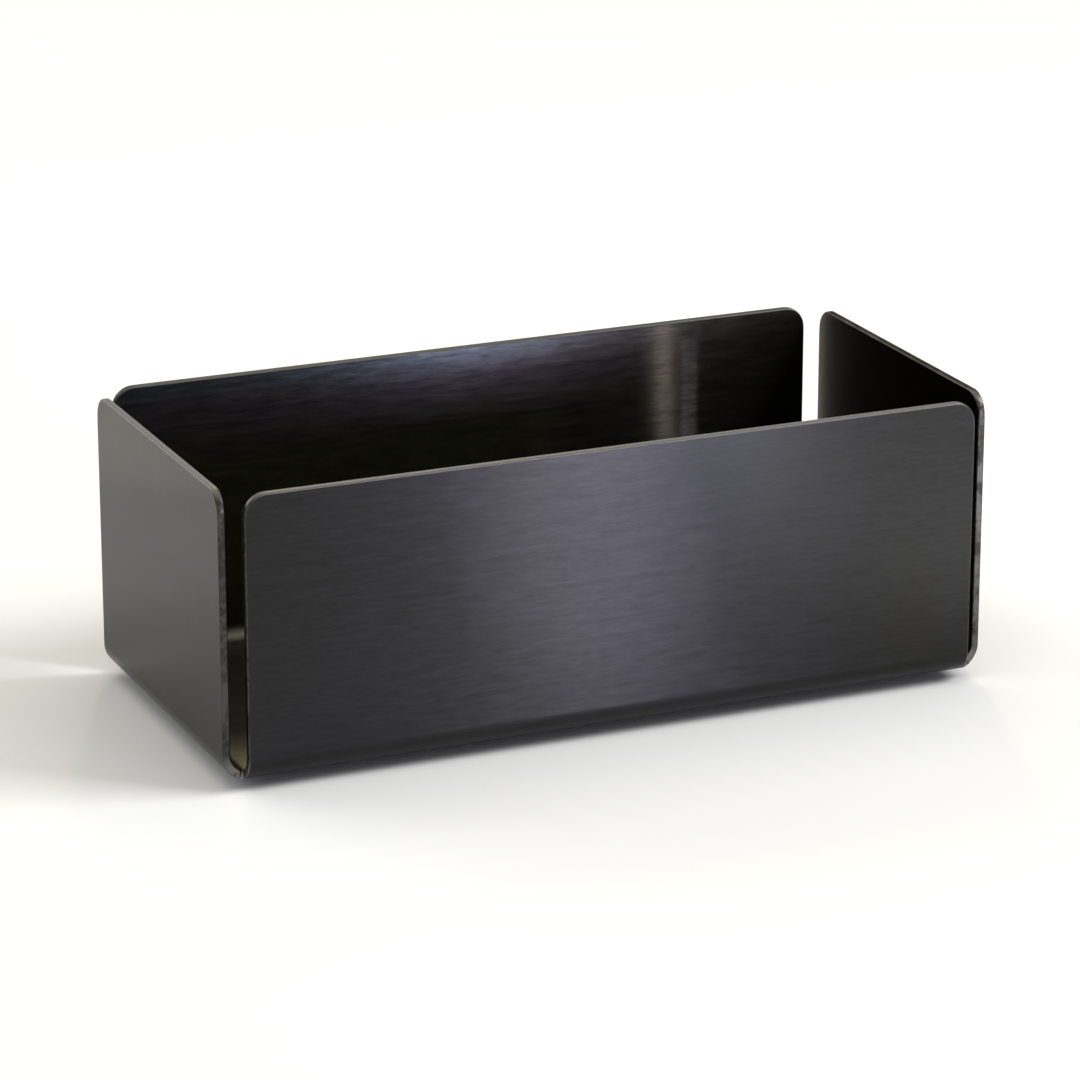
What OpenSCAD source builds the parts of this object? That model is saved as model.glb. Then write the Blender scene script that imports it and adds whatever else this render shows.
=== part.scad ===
// Sugar packet holder: an open tray folded from one sheet of steel, on four stick-on feet.
// Millimetres. X runs along the tray, the front wall faces -Y, and the feet stand on z = 0.

/* [Tray] */
// Outside length of the tray, from end wall to end wall
tray_length = 127; // [80:1:220]
// Outside width of the tray, from front wall to back wall
tray_width = 60.5; // [56:0.5:140]
// Height of the walls, from the underside of the base to the rim
tray_height = 45.2; // [20:0.2:90]
// Thickness of the sheet steel
sheet = 1.2; // [0.8:0.1:2]
// Radius on the inside of the four bends
bend_inside_radius = 2.8; // [1:0.1:4]
// Radius of the rounded top corners of the walls
wall_corner_radius = 3.5; // [1:0.5:8]

/* [Corner slots] */
// Gap from the inside of an end wall to the ends of the front and back walls
long_wall_end_gap = 2; // [0.6:0.1:4]
// Gap from the inside of the front or back wall to the edges of the end walls
end_wall_edge_gap = 1.4; // [0.6:0.1:4]

/* [Feet] */
// Diameter of a rubber foot
foot_diameter = 8; // [6:0.5:14]
// Height of a rubber foot, without its adhesive
foot_height = 1.3; // [1:0.1:4]
// Radius of the rounded lower edge of a foot
foot_edge_radius = 0.5; // [0.2:0.1:0.5]
// Thickness of the adhesive disc between a foot and the base
adhesive_thickness = 0.2; // [0.1:0.05:0.4]
// How far the adhesive disc stays inside the edge of its foot
adhesive_margin = 0.4; // [0.2:0.1:1]
// Distance from the outside of each wall to the centre of a foot
foot_inset = 14; // [14:0.5:20]

/* [Hidden] */
$fn = 96;
bend_outside_radius = bend_inside_radius + sheet;
long_wall_length = tray_length - 2 * (sheet + long_wall_end_gap);
end_wall_length = tray_width - 2 * (sheet + end_wall_edge_gap);
base_underside = foot_height + adhesive_thickness;
foot_x = tray_length / 2 - foot_inset;
foot_y = tray_width / 2 - foot_inset;
// How far the tray's hollow is cut past the rim
overrun = 1;

// Colours of the black-finished steel, the black rubber and the pale adhesive
steel_colour = [0.24, 0.24, 0.25];
rubber_colour = [0.09, 0.09, 0.09];
adhesive_colour = [0.82, 0.80, 0.72];

// Upright outline, standing on y = 0, with its two lower corners rounded
module round_bottom_outline(width, height, radius) {
    translate([-width / 2, radius]) square([width, height - radius]);
    translate([radius - width / 2, 0]) square([width - 2 * radius, radius]);
    for (side = [-1, 1])
        translate([side * (width / 2 - radius), radius]) circle(radius);
}

// Upright outline, standing on y = 0, with its two upper corners rounded
module round_top_outline(width, height, radius) {
    translate([-width / 2, 0]) square([width, height - radius]);
    translate([radius - width / 2, height - radius]) square([width - 2 * radius, radius]);
    for (side = [-1, 1])
        translate([side * (width / 2 - radius), height - radius]) circle(radius);
}

// Turns an upright outline drawn in X and Y into a bar that runs along Y
module run_along_y(length) {
    rotate([90, 0, 0]) linear_extrude(length, center = true) children();
}

// Turns an upright outline drawn in X and Y into a bar that runs along X
module run_along_x(length) {
    rotate([90, 0, 90]) linear_extrude(length, center = true) children();
}

// Block with its four lower edges rounded, standing on z = 0
module round_bottom_block(length, width, height, radius) {
    intersection() {
        run_along_y(width) round_bottom_outline(length, height, radius);
        run_along_x(length) round_bottom_outline(width, height, radius);
    }
}

// Everything that the notched blank keeps: the two pairs of walls, each with its round top corners
module blank_outline() {
    run_along_y(tray_width) round_top_outline(long_wall_length, tray_height, wall_corner_radius);
    run_along_x(tray_length) round_top_outline(end_wall_length, tray_height, wall_corner_radius);
}

module folded_tray() {
    color(steel_colour)
    translate([0, 0, base_underside])
    intersection() {
        difference() {
            round_bottom_block(tray_length, tray_width, tray_height, bend_outside_radius);
            translate([0, 0, sheet])
                round_bottom_block(tray_length - 2 * sheet, tray_width - 2 * sheet,
                    tray_height - sheet + overrun, bend_inside_radius);
        }
        blank_outline();
    }
}

// Low round rubber foot under one corner of the base, standing on z = 0
module foot(x_side, y_side) {
    foot_radius = foot_diameter / 2;
    color(rubber_colour)
    translate([x_side * foot_x, y_side * foot_y, 0])
    rotate_extrude() {
        translate([0, foot_edge_radius]) square([foot_radius, foot_height - foot_edge_radius]);
        square([foot_radius - foot_edge_radius, foot_edge_radius]);
        translate([foot_radius - foot_edge_radius, foot_edge_radius]) circle(foot_edge_radius);
    }
}

// Thin round adhesive disc between one foot and the base
module adhesive(x_side, y_side) {
    color(adhesive_colour)
    translate([x_side * foot_x, y_side * foot_y, foot_height])
        cylinder(h = adhesive_thickness, d = foot_diameter - 2 * adhesive_margin);
}

folded_tray();
foot(-1, -1);  // front_left_foot
foot(1, -1);  // front_right_foot
foot(-1, 1);  // back_left_foot
foot(1, 1);  // back_right_foot
adhesive(-1, -1);  // front_left_adhesive
adhesive(1, -1);  // front_right_adhesive
adhesive(-1, 1);  // back_left_adhesive
adhesive(1, 1);  // back_right_adhesive
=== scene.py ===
import math

import bmesh
import bpy
from mathutils import Matrix, Vector


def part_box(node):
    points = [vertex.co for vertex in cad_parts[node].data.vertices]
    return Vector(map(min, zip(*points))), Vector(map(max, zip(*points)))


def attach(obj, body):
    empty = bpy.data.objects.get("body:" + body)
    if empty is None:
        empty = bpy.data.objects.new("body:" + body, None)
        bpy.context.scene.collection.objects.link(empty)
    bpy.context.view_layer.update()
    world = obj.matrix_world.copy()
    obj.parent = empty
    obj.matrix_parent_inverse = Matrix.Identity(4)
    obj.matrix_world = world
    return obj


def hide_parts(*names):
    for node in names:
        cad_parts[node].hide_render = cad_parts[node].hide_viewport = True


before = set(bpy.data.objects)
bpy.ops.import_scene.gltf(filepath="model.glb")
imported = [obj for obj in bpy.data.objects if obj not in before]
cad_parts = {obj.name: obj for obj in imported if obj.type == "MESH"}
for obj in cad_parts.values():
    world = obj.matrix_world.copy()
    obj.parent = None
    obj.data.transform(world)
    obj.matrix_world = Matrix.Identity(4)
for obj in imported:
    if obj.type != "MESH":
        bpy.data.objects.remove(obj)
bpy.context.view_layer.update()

bl_info = {
    "name": "Sugar packet holder",
    "version": (1, 0, 0),
    "blender": (4, 5, 0),
    "location": "3D View > Sidebar > Packet holder",
    "description": "Folds a black brushed steel tray for sugar packets, with its feet and a plain studio",
    "category": "Object",
}

TRAY = "folded_tray"
CORNERS = ("front_left", "front_right", "back_left", "back_right")
GRAIN_MAP = "grain"

# Places of the inside and the cut edge in the tray's list of materials, after the outside
INSIDE, CUT_EDGE = 1, 2

# The edges of the slots stay sharp over the lowest fifth of the bends, and are fully rounded above the bends
SHARP_PART = 5

# Ranges that hold nearly all, most and the middle of what a noise gives
NEARLY_ALL = (0.3, 0.7)
MOST = (0.35, 0.65)
MIDDLE = (0.42, 0.58)

# Lines of the grain: how many times as long the long ones are, how many times as long and wide the broad
# ones are, the shares of both in the whole, and how far the roughness swings from line to line
LONG_LINES = 6
BROAD_LINES = (3, 2.5)
LONG_SHARE = 0.45
BROAD_SHARE = 0.25
ROUGHNESS_SWING = 0.01

# From the lines of the grain to the direction across them, as a share of a full turn
ACROSS_GRAIN = 0.25

# Heights of the six tones inside, the height that they are spread over, and how far clouds shift them
TONE_HEIGHTS = (0.005, 0.012, 0.033, 0.039, 0.041, 0.0455)
TONE_REACH = 0.05
TONE_DRIFT = (-0.002, 0.002)

# Where the inside turns brown: along the tray towards its right end, and up from its base
BROWN_ALONG = (0.005, 0.040)
BROWN_UP = (0.010, 0.028)

# Where the cut edges change: past the front wall's right end, on the back and right walls, at the rim and
# at the lower ends of the slots
PAST_FRONT_WALL = (0.0605, 0.0615)
ON_BACK_WALL = (0.0278, 0.0288)
ON_RIGHT_WALL = (0.0600, 0.0620)
AT_RIM = (0.0454, 0.0465)
AT_SLOT_ENDS = (0.0038, 0.0060)

# Hollow under each foot: its depth, and the radii of its floor and its rim as shares of the foot's radius
HOLLOW_DEPTH = 0.00012
HOLLOW_FLOOR = 0.42
HOLLOW_RIM = 0.47

# A foot's upper edge is rounded by this share of its lower edge's radius
UPPER_EDGE = 0.25
MERGE_DISTANCE = 0.000001

# Where in its noise the rubber turns dusty
DUST = (0.4, 0.7)

# How bright dusty rubber and the hazy patches of the film and the floor are, where 1 is the plain colour
DUSTY_RUBBER = 2.2
HAZY_FILM = 0.8
HAZY_FLOOR = 0.99

# Smoothest and roughest places of each material
CUT_ROUGHNESS = (0.28, 0.42)
RUBBER_ROUGHNESS = (0.62, 0.82)
FILM_ROUGHNESS = (0.4, 0.55)

# Places of the colour sockets of a Mix node
MIX_FIRST, MIX_SECOND, MIX_RESULT = 6, 7, 2

# Width of the camera's sensor in millimetres
SENSOR_WIDTH = 36.0


class TraySizes(bpy.types.PropertyGroup):
    """Sizes of the folded sheet"""

    sheet: bpy.props.FloatProperty(
        name="Sheet", description="Thickness of the sheet steel", default=0.0012, min=0.0004, unit="LENGTH"
    )
    bend_radius: bpy.props.FloatProperty(
        name="Bend radius",
        description="Radius on the outside of the four bends",
        default=0.004,
        unit="LENGTH",
    )
    corner_radius: bpy.props.FloatProperty(
        name="Corner radius", description="Radius of the walls' top corners", default=0.0035, unit="LENGTH"
    )
    long_wall_setback: bpy.props.FloatProperty(
        name="Long wall setback",
        description="From the outside of an end wall to the ends of the front and back walls",
        default=0.0032,
        unit="LENGTH",
    )
    end_wall_setback: bpy.props.FloatProperty(
        name="End wall setback",
        description="From the outside of the front or back wall to the edges of the end walls",
        default=0.0026,
        unit="LENGTH",
    )
    edge_round: bpy.props.FloatProperty(
        name="Edge rounding", description="Rounding of the deburred cut edges", default=0.0003, unit="LENGTH"
    )
    bend_steps: bpy.props.IntProperty(
        name="Bend steps", description="Faces round each bend", default=14, min=2
    )
    corner_steps: bpy.props.IntProperty(
        name="Corner steps", description="Edges round each top corner", default=10, min=2
    )
    edge_steps: bpy.props.IntProperty(
        name="Edge steps", description="Faces round each deburred edge", default=4, min=1
    )


class SteelFinish(bpy.types.PropertyGroup):
    """Colours, grain and wear of the black brushed steel"""

    outside_warm: bpy.props.FloatVectorProperty(
        name="Outside, warm",
        description="Warmer tone of the black coat outside",
        subtype="COLOR",
        default=(0.0265, 0.026, 0.0250),
    )
    outside_cool: bpy.props.FloatVectorProperty(
        name="Outside, cool",
        description="Cooler tone of the black coat outside",
        subtype="COLOR",
        default=(0.0265, 0.026, 0.0275),
    )
    # Blue near the rim: partly the coat's tone, partly a painted tint of the highlight that falls there
    inside_rim_highlight_tint: bpy.props.FloatVectorProperty(
        name="Inside, rim",
        description="Blue tone of the inside near the rim",
        subtype="COLOR",
        default=(0.061, 0.070, 0.074),
    )
    inside_middle: bpy.props.FloatVectorProperty(
        name="Inside, middle",
        description="Violet tone of the inside below the rim",
        subtype="COLOR",
        default=(0.073, 0.064, 0.068),
    )
    inside_deep: bpy.props.FloatVectorProperty(
        name="Inside, deep",
        description="Olive tone of the lower inside",
        subtype="COLOR",
        default=(0.074, 0.075, 0.048),
    )
    inside_end: bpy.props.FloatVectorProperty(
        name="Inside, right end",
        description="Brown tone of the inside towards the right end",
        subtype="COLOR",
        default=(0.078, 0.066, 0.056),
    )
    inside_base: bpy.props.FloatVectorProperty(
        name="Inside, base",
        description="Golden tone of the base",
        subtype="COLOR",
        default=(0.050, 0.047, 0.038),
    )
    cut_dark: bpy.props.FloatVectorProperty(
        name="Cut edge, coated",
        description="Cut edge where the coat is whole",
        subtype="COLOR",
        default=(0.031, 0.030, 0.027),
    )
    # Also the colour of the painted highlight on the rims and at the slot ends
    cut_light: bpy.props.FloatVectorProperty(
        name="Cut edge, worn",
        description="Cut edge where the coat has worn thin",
        subtype="COLOR",
        default=(0.20, 0.195, 0.18),
    )
    outside_contrast: bpy.props.FloatProperty(
        name="Outside grain contrast",
        description="How much lighter or darker the grain is outside",
        subtype="FACTOR",
        default=0.16,
    )
    inside_contrast: bpy.props.FloatProperty(
        name="Inside grain contrast",
        description="How much lighter or darker the grain is inside",
        subtype="FACTOR",
        default=0.5,
    )
    outside_roughness: bpy.props.FloatProperty(
        name="Outside roughness", description="Middle roughness of the outside", default=0.21
    )
    inside_roughness: bpy.props.FloatProperty(
        name="Inside roughness", description="Middle roughness of the inside", default=0.19
    )
    grain_pitch: bpy.props.FloatProperty(
        name="Grain pitch", description="Width of one line of the grain", default=0.00040, unit="LENGTH"
    )
    grain_length: bpy.props.FloatProperty(
        name="Grain length", description="Length of one line of the grain", default=0.0018, unit="LENGTH"
    )
    grain_depth: bpy.props.FloatProperty(
        name="Grain depth", description="Depth of the lines", default=0.000004, precision=6, unit="LENGTH"
    )
    marks: bpy.props.FloatProperty(
        name="Marks", description="Wear in the marks on the cut edges", subtype="FACTOR", default=0.20
    )
    end_marks: bpy.props.FloatProperty(
        name="Marks, right end",
        description="Wear in the marks on the right wall's cut edges",
        subtype="FACTOR",
        default=0.33,
    )
    # Lighter front and left rims: partly wear, partly a painted highlight
    rim_wear_and_highlight: bpy.props.FloatProperty(
        name="Rim wear", description="Wear along the front and left rims", subtype="FACTOR", default=0.28
    )
    # Lighter slot ends: partly wear, partly a painted highlight
    slot_wear_and_highlight: bpy.props.FloatProperty(
        name="Slot wear", description="Wear at the slots' stretched ends", subtype="FACTOR", default=0.6
    )
    # Back wall: less rim wear, and darker reflections on its cut edges as painted shade
    back_rim_wear_and_shade: bpy.props.FloatProperty(
        name="Back rim share",
        description="How worn and shiny the back rim is, where 1 is as the front rim",
        subtype="FACTOR",
        default=0.6,
    )
    # Right wall: less rim wear, and darker reflections on its cut edges as painted shade
    right_rim_wear_and_shade: bpy.props.FloatProperty(
        name="Right rim share",
        description="How worn and shiny the right rim is, where 1 is as the front rim",
        subtype="FACTOR",
        default=0.35,
    )


class FootSizes(bpy.types.PropertyGroup):
    """Sizes and colours of the rubber feet and their adhesive"""

    edge_radius: bpy.props.FloatProperty(
        name="Edge radius", description="Radius of a foot's lower edge", default=0.0005, unit="LENGTH"
    )
    rubber: bpy.props.FloatVectorProperty(
        name="Rubber", description="Colour of the rubber", subtype="COLOR", default=(0.018, 0.018, 0.018)
    )
    adhesive: bpy.props.FloatVectorProperty(
        name="Adhesive",
        description="Colour of the adhesive film",
        subtype="COLOR",
        default=(0.60, 0.57, 0.48),
    )


class StageSettings(bpy.types.PropertyGroup):
    """Floor, light and camera"""

    floor_size: bpy.props.FloatProperty(
        name="Floor size", description="Side of the square floor", default=8.0, unit="LENGTH"
    )
    floor_colour: bpy.props.FloatVectorProperty(
        name="Floor", description="Colour of the floor", subtype="COLOR", default=(0.96, 0.955, 0.93)
    )
    room_light: bpy.props.FloatProperty(
        name="Room light", description="Light from all round", default=0.25
    )
    camera_place: bpy.props.FloatVectorProperty(
        name="Camera place",
        description="Where the camera stands",
        subtype="TRANSLATION",
        unit="LENGTH",
        default=(-0.2826, -0.6487, 0.2583),
    )
    camera_pan: bpy.props.FloatProperty(
        name="Camera pan", description="Turn from +Y towards +X", subtype="ANGLE", default=0.4106
    )
    camera_tilt: bpy.props.FloatProperty(
        name="Camera tilt", description="Turn down from level", subtype="ANGLE", default=0.3214
    )
    camera_lens: bpy.props.FloatProperty(
        name="Lens", description="Focal length in millimetres", default=158.07
    )


def scaled_box(low, high):
    """Matrix that takes a cube of side 1 to the box between two corners."""
    return Matrix.Translation((low + high) / 2) @ Matrix.Diagonal((*(high - low), 1.0))


def mesh_object(name, shape, materials):
    """Puts a finished bmesh into the scene as an object at the origin."""
    for face in shape.faces:
        face.smooth = True
    mesh = bpy.data.meshes.new(name)
    shape.to_mesh(mesh)
    shape.free()
    for material in materials:
        mesh.materials.append(material)
    piece = bpy.data.objects.new(name, mesh)
    bpy.context.scene.collection.objects.link(piece)
    return piece


def new_material(name):
    """A material with its output and its shader, the shader's node tree, and the shader."""
    material = bpy.data.materials.new(name)
    material.use_nodes = True
    nodes = material.node_tree.nodes
    nodes.clear()
    output = nodes.new("ShaderNodeOutputMaterial")
    shader = nodes.new("ShaderNodeBsdfPrincipled")
    material.node_tree.links.new(shader.outputs["BSDF"], output.inputs["Surface"])
    return material, material.node_tree, shader


def object_place(tree):
    """Place of a point on the piece, in metres."""
    return tree.nodes.new("ShaderNodeTexCoord").outputs["Object"]


def split_place(tree, place):
    """The three coordinates of a place."""
    node = tree.nodes.new("ShaderNodeSeparateXYZ")
    tree.links.new(place, node.inputs["Vector"])
    return node.outputs["X"], node.outputs["Y"], node.outputs["Z"]


def stretched_noise(tree, place, scale, detail=2.0, shift=0.0):
    """Noise whose grains are 1/scale long in each direction."""
    mapping = tree.nodes.new("ShaderNodeMapping")
    mapping.inputs["Scale"].default_value = scale
    mapping.inputs["Location"].default_value = (shift, shift, shift)
    noise = tree.nodes.new("ShaderNodeTexNoise")
    noise.inputs["Scale"].default_value = 1.0
    noise.inputs["Detail"].default_value = detail
    tree.links.new(place, mapping.inputs["Vector"])
    tree.links.new(mapping.outputs["Vector"], noise.inputs["Vector"])
    return noise.outputs["Fac"]


def even_noise(tree, place, per_metre, detail=2.0, shift=0.0):
    """Noise with the same number of grains to the metre in every direction."""
    return stretched_noise(tree, place, (per_metre, per_metre, per_metre), detail, shift)


def spread(tree, value, source, target=(0.0, 1.0)):
    """Spreads a value from one range over another, and holds it there."""
    node = tree.nodes.new("ShaderNodeMapRange")
    node.inputs["From Min"].default_value, node.inputs["From Max"].default_value = source
    node.inputs["To Min"].default_value, node.inputs["To Max"].default_value = target
    tree.links.new(value, node.inputs["Value"])
    return node.outputs["Result"]


def worked_out(tree, operation, first, second):
    """Product of two values, or the greater one, or the like."""
    node = tree.nodes.new("ShaderNodeMath")
    node.operation = operation
    tree.links.new(first, node.inputs[0])
    tree.links.new(second, node.inputs[1])
    return node.outputs[0]


def blend_values(tree, first, second, share):
    """Weighted mean of two values. The share is the second one's."""
    node = tree.nodes.new("ShaderNodeMix")
    node.data_type = "FLOAT"
    node.inputs["Factor"].default_value = share
    tree.links.new(first, node.inputs["A"])
    tree.links.new(second, node.inputs["B"])
    return node.outputs["Result"]


def blend_colours(tree, factor, first, second):
    """Mixes two plain colours, or the colours of two sockets, by a value."""
    node = tree.nodes.new("ShaderNodeMix")
    node.data_type = "RGBA"
    tree.links.new(factor, node.inputs["Factor"])
    for colour, socket in ((first, node.inputs[MIX_FIRST]), (second, node.inputs[MIX_SECOND])):
        if isinstance(colour, bpy.types.NodeSocket):
            tree.links.new(colour, socket)
        else:
            socket.default_value = (*colour, 1.0)
    return node.outputs[MIX_RESULT]


def bumped(tree, shader, height, distance):
    """Feeds a height to the shader's normal."""
    bump = tree.nodes.new("ShaderNodeBump")
    bump.inputs["Distance"].default_value = distance
    tree.links.new(height, bump.inputs["Height"])
    tree.links.new(bump.outputs["Normal"], shader.inputs["Normal"])


def brightened(colour, factor):
    """A colour made brighter, or darker where the factor is less than 1."""
    return tuple(value * factor for value in colour)


def cloudy_coat(tree, finish):
    """Tone of the coat outside, which goes from warm to cool in clouds."""
    cloud = even_noise(tree, object_place(tree), per_metre=28.0, detail=3.0, shift=3.1)
    return blend_colours(tree, spread(tree, cloud, MOST), finish.outside_warm, finish.outside_cool)


def tinted_coat(tree, finish):
    """Tone of the coat inside.

    It is gold at the base, then olive, violet and blue up the walls, and brown towards the right end. The
    blue near the rim is partly the coat's tone and partly a painted tint of the highlight that falls there.
    """
    place = object_place(tree)
    x, _, z = split_place(tree, place)
    cloud = even_noise(tree, place, per_metre=35.0, detail=3.0, shift=3.1)
    level = worked_out(tree, "ADD", z, spread(tree, cloud, NEARLY_ALL, TONE_DRIFT))
    ramp = tree.nodes.new("ShaderNodeValToRGB")
    tree.links.new(spread(tree, level, (0.0, TONE_REACH)), ramp.inputs["Fac"])
    tones = (
        finish.inside_base,
        finish.inside_deep,
        finish.inside_deep,
        finish.inside_middle,
        finish.inside_middle,
        # The rim's tone is partly a painted tint of the highlight there
        finish.inside_rim_highlight_tint,
    )
    stops = ramp.color_ramp.elements
    while len(stops) < len(tones):
        stops.new(1.0)
    for stop, height, tone in zip(stops, TONE_HEIGHTS, tones):
        stop.position = height / TONE_REACH
        stop.color = (*tone, 1.0)
    brown = worked_out(tree, "MULTIPLY", spread(tree, x, BROWN_ALONG), spread(tree, z, BROWN_UP))
    return blend_colours(tree, brown, ramp.outputs["Color"], finish.inside_end)


def brushed_steel(name, coat, finish, contrast, relief, roughness):
    """Black coat over steel that was brushed along the blank, before it was folded."""
    material, tree, shader = new_material(name)
    uv_map = tree.nodes.new("ShaderNodeUVMap")
    uv_map.uv_map = GRAIN_MAP
    flat = uv_map.outputs["UV"]
    along, across = 1 / finish.grain_length, 1 / finish.grain_pitch
    longer, wider = BROAD_LINES
    short = stretched_noise(tree, flat, (along, across, 1.0))
    long = stretched_noise(tree, flat, (along / LONG_LINES, across, 1.0), shift=7.3)
    broad = stretched_noise(tree, flat, (along / longer, across / wider, 1.0), shift=4.1)
    lines = blend_values(tree, blend_values(tree, short, long, LONG_SHARE), broad, BROAD_SHARE)
    shade = tree.nodes.new("ShaderNodeVectorMath")
    shade.operation = "SCALE"
    tree.links.new(coat(tree, finish), shade.inputs[0])
    tree.links.new(spread(tree, lines, NEARLY_ALL, (1.0 - contrast, 1.0 + contrast)), shade.inputs["Scale"])
    tree.links.new(shade.outputs[0], shader.inputs["Base Color"])
    swing = (roughness - ROUGHNESS_SWING, roughness + ROUGHNESS_SWING)
    tree.links.new(spread(tree, broad, NEARLY_ALL, swing), shader.inputs["Roughness"])
    bumped(tree, shader, lines, finish.grain_depth * relief)
    shader.inputs["Metallic"].default_value = 1.0
    shader.inputs["Anisotropic"].default_value = 1.0
    shader.inputs["Anisotropic Rotation"].default_value = ACROSS_GRAIN
    tangent = tree.nodes.new("ShaderNodeTangent")
    tangent.direction_type = "UV_MAP"
    tangent.uv_map = GRAIN_MAP
    tree.links.new(tangent.outputs["Tangent"], shader.inputs["Tangent"])
    return material


def cut_edge_steel(finish):
    """Coated cut edge.

    It is lighter along the rims, partly from wear and partly as a painted highlight, and less so on the back
    and right walls, whose cut edges also have darkened reflections as painted shade. At the lower ends of
    the slots it is lighter too, partly from wear and partly as a painted highlight. Small marks are all over
    it, and those on the right wall are the lightest.
    """
    material, tree, shader = new_material("cut_edge_steel")
    place = object_place(tree)
    x, y, z = split_place(tree, place)
    marks = even_noise(tree, place, per_metre=1500.0, detail=3.0)
    patches = even_noise(tree, place, per_metre=300.0, shift=5.0)
    specks = spread(tree, blend_values(tree, marks, patches, share=0.5), MIDDLE)
    depth = spread(tree, x, PAST_FRONT_WALL, (finish.marks, finish.end_marks))
    marked = worked_out(tree, "MULTIPLY", specks, depth)
    # Less on the back and right walls: less wear, and darker reflections there as painted shade
    handled_and_shaded = worked_out(
        tree,
        "MULTIPLY",
        spread(tree, y, ON_BACK_WALL, (1.0, finish.back_rim_wear_and_shade)),
        spread(tree, x, ON_RIGHT_WALL, (1.0, finish.right_rim_wear_and_shade)),
    )
    # Lighter rims: partly wear, partly a painted highlight
    rubbed_and_highlit = worked_out(tree, "MULTIPLY", spread(tree, z, AT_RIM, (0.0, finish.rim_wear_and_highlight)), handled_and_shaded)
    # Lighter slot ends: partly wear, partly a painted highlight
    stretched = spread(tree, z, AT_SLOT_ENDS, (finish.slot_wear_and_highlight, 0.0))
    edge_wear_and_highlight = worked_out(tree, "MAXIMUM", worked_out(tree, "MAXIMUM", marked, rubbed_and_highlit), stretched)
    tree.links.new(blend_colours(tree, edge_wear_and_highlight, finish.cut_dark, finish.cut_light), shader.inputs["Base Color"])
    tree.links.new(spread(tree, marks, NEARLY_ALL, CUT_ROUGHNESS), shader.inputs["Roughness"])
    # Darker reflections on the back and right walls' cut edges: painted shade
    tree.links.new(handled_and_shaded, shader.inputs["Specular Tint"])
    bumped(tree, shader, marks, distance=0.00001)
    shader.inputs["Metallic"].default_value = 1.0
    return material


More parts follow.
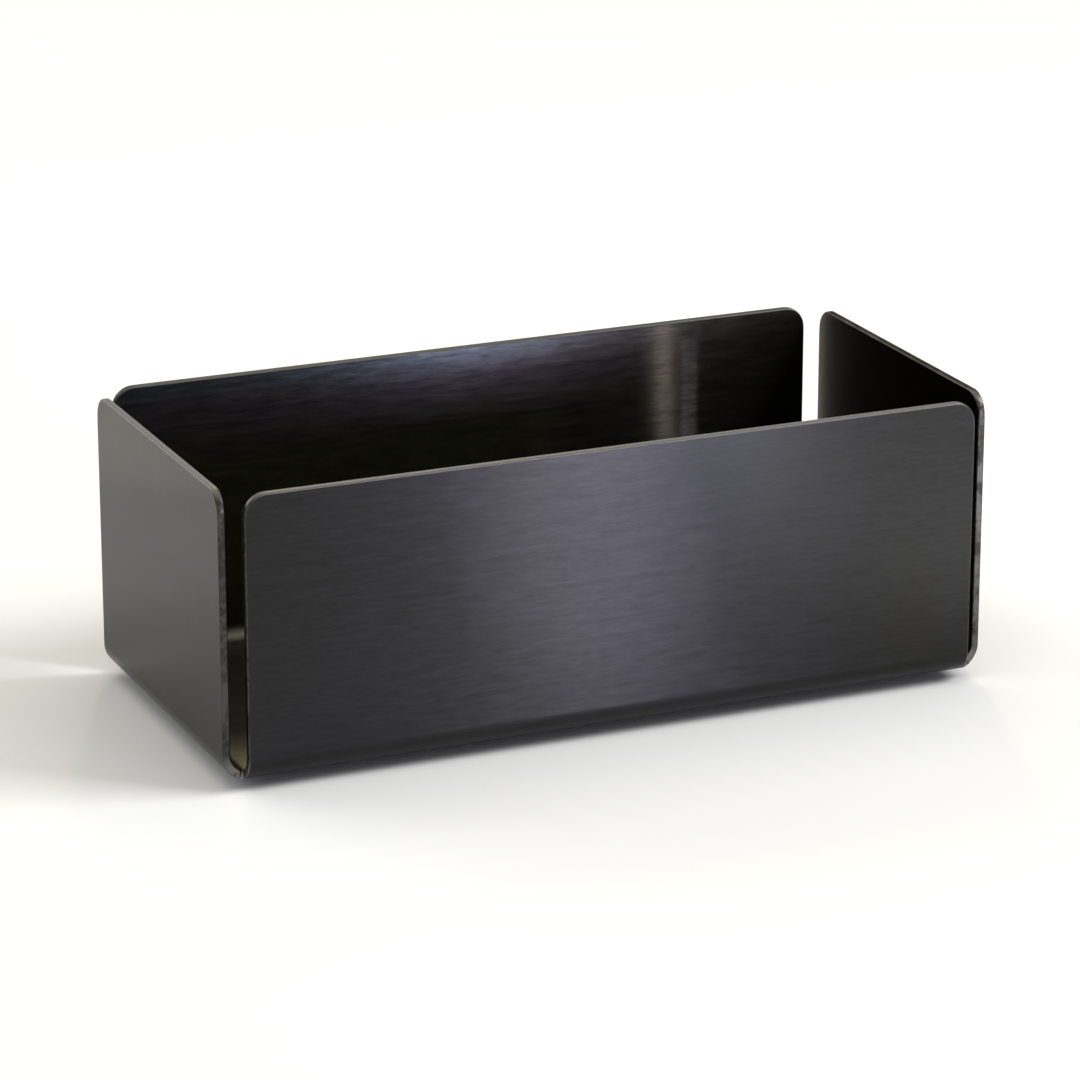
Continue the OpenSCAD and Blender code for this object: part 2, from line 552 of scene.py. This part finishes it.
class PACKETHOLDER_OT_fold_tray(bpy.types.Operator):
    """Fold the tray from one blank and give it its black brushed finish"""

    bl_idname = "packet_holder.fold_tray"
    bl_label = "Fold the tray"

    def execute(self, context):
        sizes, finish = context.scene.tray_sizes, context.scene.steel_finish
        low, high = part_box(TRAY)
        blank = self.bent_blank(low, high, sizes)
        self.cut_slots(blank, high, sizes)
        self.round_corners(blank, high, sizes)
        bmesh.ops.recalc_face_normals(blank, faces=blank.faces)
        self.mark_deburred(blank, low.z + sizes.bend_radius / SHARP_PART, low.z + sizes.bend_radius)
        self.lay_grain(blank, low, high, sizes.bend_radius)
        tray = mesh_object("brushed_folded_tray", blank, self.finishes(finish))
        self.thicken(tray, sizes)
        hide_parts(TRAY)
        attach(tray, "root")
        return {"FINISHED"}

    def bent_blank(self, low, high, sizes):
        """The outside of the tray as a thin skin, with its four bends but without its slots."""
        blank = bmesh.new()
        bmesh.ops.create_cube(blank, size=1.0, matrix=scaled_box(low, high))
        top = max(blank.faces, key=lambda face: face.normal.z)
        bmesh.ops.delete(blank, geom=[top], context="FACES_ONLY")
        bends = [e for e in blank.edges if all(v.co.z < low.z + sizes.sheet for v in e.verts)]
        bmesh.ops.bevel(
            blank, geom=bends, offset=sizes.bend_radius, offset_type="OFFSET", segments=sizes.bend_steps,
            profile=0.5, affect="EDGES", material=-1,
        )
        return blank

    def cut_slots(self, blank, high, sizes):
        """Cuts the notches out of the blank's corners, which leaves the upright slots."""
        reach = (high.x - sizes.long_wall_setback, high.y - sizes.end_wall_setback)
        for axis, half in zip((Vector((1, 0, 0)), Vector((0, 1, 0))), reach):
            for outwards in (-axis, axis):
                everything = [*blank.verts, *blank.edges, *blank.faces]
                bmesh.ops.bisect_plane(blank, geom=everything, plane_co=outwards * half, plane_no=outwards)
        notches = [
            f for f in blank.faces
            if all(abs(place) > half for place, half in zip(f.calc_center_median(), reach))
        ]
        bmesh.ops.delete(blank, geom=notches, context="FACES")

    def round_corners(self, blank, high, sizes):
        """Rounds the two top corners of each wall."""
        tops = [v for v in blank.verts if v.co.z > high.z - sizes.sheet]
        bmesh.ops.bevel(
            blank, geom=tops, offset=sizes.corner_radius, offset_type="OFFSET", segments=sizes.corner_steps,
            profile=0.5, affect="VERTICES", material=-1,
        )

    def mark_deburred(self, blank, start, end):
        """Marks how far each cut edge is rounded.

        The rounding fades out between two heights, because the tight lower ends of the slots stay sharp.
        """
        weights = blank.edges.layers.float.new("bevel_weight_edge")
        for edge in blank.edges:
            if edge.is_boundary:
                middle = sum(v.co.z for v in edge.verts) / 2
                edge[weights] = min(1.0, max(0.0, (middle - start) / (end - start)))
                edge.smooth = edge[weights] > 0

    def lay_grain(self, blank, low, high, radius):
        """Writes each corner's place on the flat blank, so that the grain follows the folded sheet."""
        layer = blank.loops.layers.uv.new(GRAIN_MAP)
        for face in blank.faces:
            on_end_wall = abs(face.normal.x) > abs(face.normal.y)
            for loop in face.loops:
                place = loop.vert.co
                flat = [place.x, place.y]
                axis = 0 if on_end_wall else 1
                straight = high[axis] - radius
                past = abs(place[axis]) - straight
                if past > 0:
                    rise = min(place.z - low.z, radius)
                    turn = math.atan2(past, radius - rise)
                    climb = max(0.0, place.z - low.z - radius)
                    flat[axis] = math.copysign(straight + radius * turn + climb, place[axis])
                loop[layer].uv = flat

    def finishes(self, finish):
        """The tray's materials, in the order of their places."""
        return [
            brushed_steel(
                "black_brushed_outside", cloudy_coat, finish,
                contrast=finish.outside_contrast, relief=1.0, roughness=finish.outside_roughness,
            ),
            brushed_steel(
                "black_brushed_inside", tinted_coat, finish,
                contrast=finish.inside_contrast, relief=1.2, roughness=finish.inside_roughness,
            ),
            cut_edge_steel(finish),
        ]

    def thicken(self, tray, sizes):
        """Gives the skin the thickness of the sheet, inwards, and rounds its cut edges."""
        wall = tray.modifiers.new("Sheet thickness", "SOLIDIFY")
        wall.thickness = sizes.sheet
        wall.offset = -1.0
        wall.use_even_offset = True
        wall.material_offset = INSIDE
        wall.material_offset_rim = CUT_EDGE
        deburr = tray.modifiers.new("Deburred edges", "BEVEL")
        deburr.width = sizes.edge_round
        deburr.segments = sizes.edge_steps
        deburr.limit_method = "WEIGHT"
        deburr.material = CUT_EDGE
        tray.modifiers.new("Flat walls", "WEIGHTED_NORMAL").keep_sharp = True


def spun_disc(centre, profile, steps=64):
    """Turns a profile, given as pairs of radius and height, once round an upright line."""
    shape = bmesh.new()
    points = [shape.verts.new((centre.x + r, centre.y, z)) for r, z in profile]
    edges = [shape.edges.new(pair) for pair in zip(points, points[1:])]
    bmesh.ops.spin(
        shape, geom=[*points, *edges], cent=centre, axis=(0, 0, 1), dvec=(0, 0, 0),
        angle=math.tau, steps=steps, use_merge=True,
    )
    bmesh.ops.remove_doubles(shape, verts=shape.verts, dist=MERGE_DISTANCE)
    bmesh.ops.recalc_face_normals(shape, faces=shape.faces)
    return shape


def quarter(centre_radius, centre_height, radius, start, steps=6):
    """Points of a quarter round in a profile, turning anticlockwise from a start angle."""
    angles = [start + math.pi / 2 * step / steps for step in range(steps + 1)]
    return [(centre_radius + radius * math.cos(a), centre_height + radius * math.sin(a)) for a in angles]


class PACKETHOLDER_OT_mould_feet(bpy.types.Operator):
    """Mould the four rubber feet"""

    bl_idname = "packet_holder.mould_feet"
    bl_label = "Mould the feet"

    def execute(self, context):
        sizes = context.scene.foot_sizes
        rubber = self.rubber(tuple(sizes.rubber))
        for corner in CORNERS:
            node = f"{corner}_foot"
            low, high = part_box(node)
            centre, radius = (low + high) / 2, (high.x - low.x) / 2
            lower, upper = sizes.edge_radius, sizes.edge_radius * UPPER_EDGE
            profile = [
                (0.0, low.z + HOLLOW_DEPTH),
                (radius * HOLLOW_FLOOR, low.z + HOLLOW_DEPTH),
                (radius * HOLLOW_RIM, low.z),
                *quarter(radius - lower, low.z + lower, lower, -math.pi / 2),
                *quarter(radius - upper, high.z - upper, upper, 0.0, steps=3),
                (0.0, high.z),
            ]
            foot = mesh_object(f"rubber_{node}", spun_disc(centre, profile), [rubber])
            foot.modifiers.new("Even shading", "WEIGHTED_NORMAL").keep_sharp = True
            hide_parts(node)
            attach(foot, "root")
        return {"FINISHED"}

    def rubber(self, colour):
        """Matt rubber with fine pores, and dust on it in patches."""
        material, tree, shader = new_material("moulded_rubber")
        place = object_place(tree)
        pores = even_noise(tree, place, per_metre=6000.0)
        dust = even_noise(tree, place, per_metre=400.0, detail=4.0, shift=2.0)
        tree.links.new(
            blend_colours(tree, spread(tree, dust, DUST), colour, brightened(colour, DUSTY_RUBBER)),
            shader.inputs["Base Color"],
        )
        tree.links.new(spread(tree, dust, NEARLY_ALL, RUBBER_ROUGHNESS), shader.inputs["Roughness"])
        bumped(tree, shader, pores, distance=0.00002)
        return material


class PACKETHOLDER_OT_dress_adhesive(bpy.types.Operator):
    """Give the adhesive discs their pale film"""

    bl_idname = "packet_holder.dress_adhesive"
    bl_label = "Dress the adhesive"

    def execute(self, context):
        film = self.film(tuple(context.scene.foot_sizes.adhesive))
        for corner in CORNERS:
            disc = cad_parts[f"{corner}_adhesive"]
            disc.data.materials.clear()
            disc.data.materials.append(film)
        return {"FINISHED"}

    def film(self, colour):
        """Pale film with faint hazy patches."""
        material, tree, shader = new_material("adhesive_film")
        haze = even_noise(tree, object_place(tree), per_metre=700.0, detail=3.0)
        tree.links.new(
            blend_colours(tree, spread(tree, haze, MOST), brightened(colour, HAZY_FILM), colour),
            shader.inputs["Base Color"],
        )
        tree.links.new(spread(tree, haze, NEARLY_ALL, FILM_ROUGHNESS), shader.inputs["Roughness"])
        bumped(tree, shader, haze, distance=0.00001)
        return material


def lamp(name, shape, place, rotation, width, height, level, colour):
    """Flat lamp. Its level is the brightness of its face, where 1 is white."""
    light = bpy.data.lights.new(name, "AREA")
    light.shape = shape
    light.size, light.size_y = width, height
    light.energy = level * width * height * math.pi
    light.color = colour
    holder = bpy.data.objects.new(name, light)
    holder.location = place
    holder.rotation_euler = rotation
    holder.visible_camera = False
    bpy.context.scene.collection.objects.link(holder)


def soft_lamp(name, place, aim, **face):
    """Soft box that faces a point."""
    rotation = (Vector(aim) - Vector(place)).to_track_quat("-Z", "Y").to_euler()
    lamp(name, "RECTANGLE", place, rotation, **face)


def table_lamp(name, place, degrees, **face):
    """Oval lamp on the table that faces up, turned from -Y towards +X.

    Its ends taper, so that its reflection in the walls fades out.
    """
    lamp(name, "ELLIPSE", place, (math.pi, 0.0, math.radians(degrees)), **face)


def background_rays(tree):
    """1 for what is seen, straight or in a shiny or clear surface, and 0 for light that falls on things."""
    path = tree.nodes.new("ShaderNodeLightPath")
    total = path.outputs["Is Camera Ray"]
    for name in ("Is Glossy Ray", "Is Transmission Ray"):
        total = worked_out(tree, "MAXIMUM", total, path.outputs[name])
    return total


class PACKETHOLDER_OT_set_stage(bpy.types.Operator):
    """Lay the pale floor, hang the lamps and place the camera"""

    bl_idname = "packet_holder.set_stage"
    bl_label = "Set the stage"

    def execute(self, context):
        settings = context.scene.stage_settings
        self.lay_floor(settings)
        self.light_room(context.scene, settings)
        self.hang_lamps()
        self.place_camera(context.scene, settings)
        context.scene.view_settings.view_transform = "Standard"
        return {"FINISHED"}

    def lay_floor(self, settings):
        """A pale matt floor, which keeps the tray's shadow."""
        material, tree, shader = new_material("pale_floor")
        haze = even_noise(tree, object_place(tree), per_metre=3.0)
        colour = tuple(settings.floor_colour)
        tree.links.new(
            blend_colours(tree, haze, brightened(colour, HAZY_FLOOR), colour),
            shader.inputs["Base Color"],
        )
        shader.inputs["Roughness"].default_value = 0.9
        shader.inputs["Specular IOR Level"].default_value = 0.0
        shape = bmesh.new()
        bmesh.ops.create_grid(shape, x_segments=2, y_segments=2, size=settings.floor_size / 2)
        floor = mesh_object("floor", shape, [material])

    def light_room(self, scene, settings):
        """A white background, which lights the tray only weakly."""
        world = bpy.data.worlds.new("pale_room")
        world.use_nodes = True
        scene.world = world
        tree = world.node_tree
        background = tree.nodes["Background"]
        background.inputs["Color"].default_value = (1.0, 1.0, 1.0, 1.0)
        strength = spread(tree, background_rays(tree), (0.0, 1.0), (settings.room_light, 1.0))
        tree.links.new(strength, background.inputs["Strength"])

    def hang_lamps(self):
        """Hangs the soft boxes and strips, and lays lamps on the table for the walls' lower parts."""
        # Far strips, one above the other, for the highlights on the front wall and inside the back wall
        soft_lamp(
            "strip_high", place=(0.758, -1.850, 0.315), aim=(0.0, -0.03, 0.315),
            width=0.028, height=0.229, level=118.0, colour=(0.80, 0.69, 1.0),
        )
        soft_lamp(
            "strip_middle", place=(0.758, -1.850, 0.149), aim=(0.0, -0.03, 0.149),
            width=0.028, height=0.103, level=390.0, colour=(0.75, 0.76, 1.0),
        )
        soft_lamp(
            "strip_low", place=(0.758, -1.850, 0.072), aim=(0.0, -0.03, 0.072),
            width=0.028, height=0.052, level=430.0, colour=(0.82, 0.84, 1.0),
        )
        # Near strip for the middle of the front wall
        soft_lamp(
            "standing_strip", place=(0.177, -0.450, 0.025), aim=(-0.015, -0.03, 0.025),
            width=0.026, height=0.040, level=22.0, colour=(0.80, 0.83, 1.0),
        )
        # Soft boxes for the whole tray, the left wall and the rims
        soft_lamp(
            "key_box", place=(0.90, -0.50, 0.90), aim=(0.0, 0.0, 0.0),
            width=0.60, height=0.60, level=10.7, colour=(0.94, 0.96, 1.0),
        )
        soft_lamp(
            "rear_left_box", place=(-0.70, 0.90, 0.50), aim=(0.0, 0.0, 0.03),
            width=0.90, height=0.60, level=3.0, colour=(0.94, 0.96, 1.0),
        )
        soft_lamp(
            "top_box", place=(0.0, 0.05, 1.20), aim=(0.0, 0.05, 0.0),
            width=1.40, height=1.40, level=1.17, colour=(1.0, 0.97, 0.87),
        )
        # Golden strip for the base, as it is seen through the near left slot
        soft_lamp(
            "rear_strip", place=(0.318, 0.837, 0.742), aim=(-0.06, -0.03, 0.003),
            width=0.07, height=0.24, level=20.5, colour=(1.0, 0.86, 0.46),
        )
        # On the table, in front of the front wall and beside the left wall
        table_lamp(
            "table_strip", place=(0.208, -0.440, 0.003), degrees=24.5,
            width=0.052, height=0.360, level=19.0, colour=(0.72, 0.76, 1.0),
        )
        table_lamp(
            "near_strip", place=(0.030, -0.110, 0.003), degrees=24.5,
            width=0.044, height=0.120, level=1.0, colour=(0.82, 0.82, 1.0),
        )
        table_lamp(
            "right_panel", place=(0.126, -0.106, 0.003), degrees=27.0,
            width=0.135, height=0.145, level=1.25, colour=(0.94, 0.95, 1.0),
        )
        table_lamp(
            "left_panel", place=(-0.170, 0.215, 0.003), degrees=0.0,
            width=0.240, height=0.260, level=0.175, colour=(1.0, 0.96, 0.7),
        )

    def place_camera(self, scene, settings):
        """Puts the camera at the tray's left front, a little above it."""
        data = bpy.data.cameras.new("camera")
        data.sensor_width = SENSOR_WIDTH
        data.lens = settings.camera_lens
        camera = bpy.data.objects.new("camera", data)
        camera.location = settings.camera_place
        camera.rotation_euler = (math.pi / 2 - settings.camera_tilt, 0.0, -settings.camera_pan)
        scene.collection.objects.link(camera)
        scene.camera = camera


STEPS = (
    PACKETHOLDER_OT_fold_tray,
    PACKETHOLDER_OT_mould_feet,
    PACKETHOLDER_OT_dress_adhesive,
    PACKETHOLDER_OT_set_stage,
)

SETTINGS = {
    "tray_sizes": TraySizes,
    "steel_finish": SteelFinish,
    "foot_sizes": FootSizes,
    "stage_settings": StageSettings,
}


class PACKETHOLDER_PT_sidebar(bpy.types.Panel):
    """The steps and their settings in the 3D view's sidebar"""

    bl_label = "Packet holder"
    bl_idname = "PACKETHOLDER_PT_sidebar"
    bl_space_type = "VIEW_3D"
    bl_region_type = "UI"
    bl_category = "Packet holder"

    def draw(self, context):
        for step in STEPS:
            self.layout.operator(step.bl_idname)
        for name in SETTINGS:
            group = getattr(context.scene, name)
            box = self.layout.box()
            for prop in group.bl_rna.properties:
                if not prop.is_readonly and prop.identifier != "name":
                    box.prop(group, prop.identifier)


CLASSES = (*SETTINGS.values(), *STEPS, PACKETHOLDER_PT_sidebar)


def register():
    for cls in CLASSES:
        bpy.utils.register_class(cls)
    for name, group in SETTINGS.items():
        setattr(bpy.types.Scene, name, bpy.props.PointerProperty(type=group))


def unregister():
    for name in SETTINGS:
        delattr(bpy.types.Scene, name)
    for cls in reversed(CLASSES):
        bpy.utils.unregister_class(cls)


def main():
    register()
    bpy.ops.packet_holder.fold_tray()
    bpy.ops.packet_holder.mould_feet()
    bpy.ops.packet_holder.dress_adhesive()
    bpy.ops.packet_holder.set_stage()


if __name__ == "__main__":
    main()
